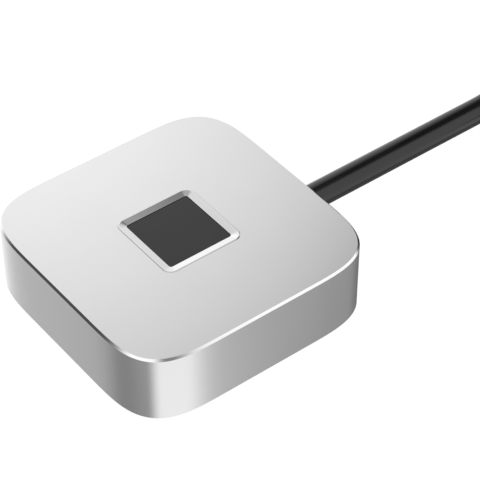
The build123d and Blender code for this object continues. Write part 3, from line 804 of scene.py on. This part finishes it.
# ---------------------------------------------------------------- studio
def make_floor():
    """A pale, even table top that glows, so that hardly any of the object's shadow shows on it."""
    half = 3.0
    corners = ((-half, -half, 0), (half, -half, 0), (half, half, 0), (-half, half, 0))
    mesh = bmesh.new()
    mesh.faces.new([mesh.verts.new(corner) for corner in corners])
    material = bpy.data.materials.new("pale_floor")
    material.use_nodes = True
    shader = material.node_tree.nodes["Principled BSDF"]
    shader.inputs["Base Color"].default_value = (0.12, 0.12, 0.12, 1)
    shader.inputs["Roughness"].default_value = 1.0
    shader.inputs["Specular IOR Level"].default_value = 0.0
    shader.inputs["Emission Color"].default_value = (1, 1, 1, 1)
    shader.inputs["Emission Strength"].default_value = 0.93
    material.cycles.emission_sampling = "NONE"
    made = piece("floor", mesh, [material])
    made.visible_glossy = False


class Light:
    """The node tree of the light tent: brightness by direction from the object."""

    def __init__(self, material):
        self.tree = material.node_tree
        self.tree.nodes.clear()
        place = self.tree.nodes.new("ShaderNodeTexCoord").outputs["Object"]
        towards = self.tree.nodes.new("ShaderNodeVectorMath")
        towards.operation = "NORMALIZE"
        self.tree.links.new(place, towards.inputs[0])
        self.towards = towards.outputs["Vector"]

    def math(self, operation, *values):
        node = self.tree.nodes.new("ShaderNodeMath")
        node.operation = operation
        for socket, value in zip(node.inputs, values):
            if isinstance(value, (int, float)):
                socket.default_value = value
            else:
                self.tree.links.new(value, socket)
        return node.outputs["Value"]

    def smooth(self, source, from_low, from_high, low=0.0, high=1.0):
        """A value that eases from low to high while its source goes from from_low to from_high."""
        node = self.tree.nodes.new("ShaderNodeMapRange")
        node.interpolation_type = "SMOOTHSTEP"
        node.inputs["From Min"].default_value = from_low
        node.inputs["From Max"].default_value = from_high
        node.inputs["To Min"].default_value = low
        node.inputs["To Max"].default_value = high
        self.tree.links.new(source, node.inputs["Value"])
        return node.outputs["Result"]

    def height(self):
        """The sine of the elevation."""
        split = self.tree.nodes.new("ShaderNodeSeparateXYZ")
        self.tree.links.new(self.towards, split.inputs["Vector"])
        return split.outputs["Z"]

    def facing(self, azimuth, elevation):
        """The cosine of the angle from a direction; azimuth 0 is +X and 90 is +Y."""
        a, e = math.radians(azimuth), math.radians(elevation)
        dot = self.tree.nodes.new("ShaderNodeVectorMath")
        dot.operation = "DOT_PRODUCT"
        self.tree.links.new(self.towards, dot.inputs[0])
        direction = (math.cos(a) * math.cos(e), math.sin(a) * math.cos(e), math.sin(e))
        dot.inputs[1].default_value = direction
        return dot.outputs["Value"]

    def patch(self, direction, radii, outside, inside):
        """A round patch of the tent, which fades between two radii in degrees."""
        near, far = (math.cos(math.radians(radius)) for radius in radii)
        return self.smooth(self.facing(*direction), far, near, outside, inside)

    def azimuth(self):
        """Degrees round from +X, where +Y is 90; they jump at SEAM."""
        turn = self.tree.nodes.new("ShaderNodeTexGradient")
        turn.gradient_type = "RADIAL"
        self.tree.links.new(self.towards, turn.inputs["Vector"])
        degrees = self.math("MULTIPLY_ADD", turn.outputs["Fac"], 360.0, -180.0)
        return self.math("WRAP", degrees, SEAM, SEAM - 360.0)

    def banded(self, bright, bands):
        """Brightness by azimuth: bright all round, except where bands are laid over it in order."""
        azimuth = self.azimuth()
        level = bright
        for fade_in, fade_out, inside in bands:
            cover = self.math("SUBTRACT", self.smooth(azimuth, *fade_in), self.smooth(azimuth, *fade_out))
            rest = self.math("MULTIPLY", self.math("SUBTRACT", 1.0, cover), level)
            level = self.math("MULTIPLY_ADD", cover, inside, rest)
        return level

    def key(self):
        """A round key light, weaker away from its middle and soft at its edge."""
        away = self.math("MULTIPLY", self.math("ARCCOSINE", self.facing(*KEY_DIRECTION)), 180 / math.pi)
        fall = self.math("POWER", self.math("DIVIDE", away, KEY_REACH), KEY_FALL)
        level = self.math("MULTIPLY", self.math("SUBTRACT", 1.0, fall), KEY_STRENGTH)
        return self.math("MULTIPLY", level, self.smooth(away, *KEY_EDGE, 1.0, 0.0))


# The tent is bright all round, with dimmer bands in it. A band has the azimuths in degrees over which
# it fades in and out, where 0 is +X and 90 is +Y, and its brightness. First the reflectors below the
# horizon: a dim band with a dimmer part in it, at the front and then at the rear
SEAM = 160.0  # no band covers it, so the tent is even across it
BELOW_BRIGHT = 1.1
BELOW_BANDS = [
    ((-192, -118), (-64, -32), 0.32),
    ((-134, -114), (-106, -66), 0.26),
    ((12, 40), (137, 145), 0.33),
    ((60, 104), (137, 145), 0.18),
]
# Then the panels above it, with gaps between them at the front left, the right and the rear
ABOVE_BRIGHT = 1.07
ABOVE_BANDS = [
    ((-160, -134), (-124, -90), 0.075),
    ((-52, -20), (-12, 32), 0.235),
    ((66, 86), (108, 142), 0.095),
]

# Darker gaps in the panels: direction, inner and outer radius in degrees, and the share that is left
GAPS = [((100, 49), (9, 26), 0.05), ((133, 60), (24, 38), 0.05), ((-172, 45), (22, 34), 0.5)]

# The key light: direction, strength, the angle and power of its falloff, and the fade at its edge
KEY_DIRECTION = (157, 33)
KEY_STRENGTH = 1.31
KEY_REACH = 50.0
KEY_FALL = 1.2
KEY_EDGE = (23, 34)

# The rear panel: direction, inner and outer radius in degrees, and strength
REAR_DIRECTION = (95, 24)
REAR_RADII = (10, 17)
REAR_STRENGTH = 0.6

# Heights on the tent, as the sine of the elevation, over which one part fades into the next
CEILING_FADE = (0.795, 0.915)
CEILING_STRENGTH = 0.59
HORIZON_FADE = (-0.56, -0.42)


def make_light_tent():
    """A light tent round the object, seen only in its reflections: panels above, reflectors below."""
    mesh = bmesh.new()
    bmesh.ops.create_uvsphere(mesh, u_segments=64, v_segments=32, radius=0.24)
    material = bpy.data.materials.new("light_tent")
    material.use_nodes = True
    light = Light(material)
    below = light.banded(BELOW_BRIGHT, BELOW_BANDS)
    above = light.banded(ABOVE_BRIGHT, ABOVE_BANDS)
    height = light.height()
    for direction, radii, left in GAPS:
        above = light.math("MULTIPLY", above, light.patch(direction, radii, 1.0, left))
    ceiling = light.smooth(height, *CEILING_FADE)
    above = light.math("MULTIPLY", above, light.math("SUBTRACT", 1.0, ceiling))
    above = light.math("MULTIPLY_ADD", ceiling, CEILING_STRENGTH, above)
    rear = light.patch(REAR_DIRECTION, REAR_RADII, 0.0, REAR_STRENGTH)
    top = light.math("MAXIMUM", light.math("MAXIMUM", above, rear), light.key())
    upper = light.smooth(height, *HORIZON_FADE)
    lower = light.math("MULTIPLY", below, light.math("SUBTRACT", 1.0, upper))
    total = light.math("ADD", lower, light.math("MULTIPLY", top, upper))
    glow = light.tree.nodes.new("ShaderNodeEmission")
    light.tree.links.new(total, glow.inputs["Strength"])
    out = light.tree.nodes.new("ShaderNodeOutputMaterial")
    light.tree.links.new(glow.outputs["Emission"], out.inputs["Surface"])
    material.cycles.emission_sampling = "NONE"
    made = piece("light_tent", mesh, [material])
    made.visible_camera = False
    made.visible_diffuse = False
    made.visible_shadow = False
    made.visible_transmission = False


def make_soft_light():
    """Even white surroundings, and one large soft light from the rear left for the matt pieces."""
    world = bpy.data.worlds.new("white_studio")
    world.use_nodes = True
    background = world.node_tree.nodes["Background"]
    background.inputs["Color"].default_value = (1, 1, 1, 1)
    background.inputs["Strength"].default_value = 1.0
    world.cycles.sampling_method = "NONE"
    scene.world = world
    data = bpy.data.lights.new("soft_box", "AREA")
    data.size = 0.5
    data.energy = 0.8
    box = bpy.data.objects.new("soft_box", data)
    box.location = (-0.45, 0.15, 0.45)
    box.rotation_mode = "QUATERNION"
    box.rotation_quaternion = box.location.to_track_quat("Z", "Y")
    box.visible_glossy = False
    scene.collection.objects.link(box)


make_floor()
make_light_tent()
make_soft_light()
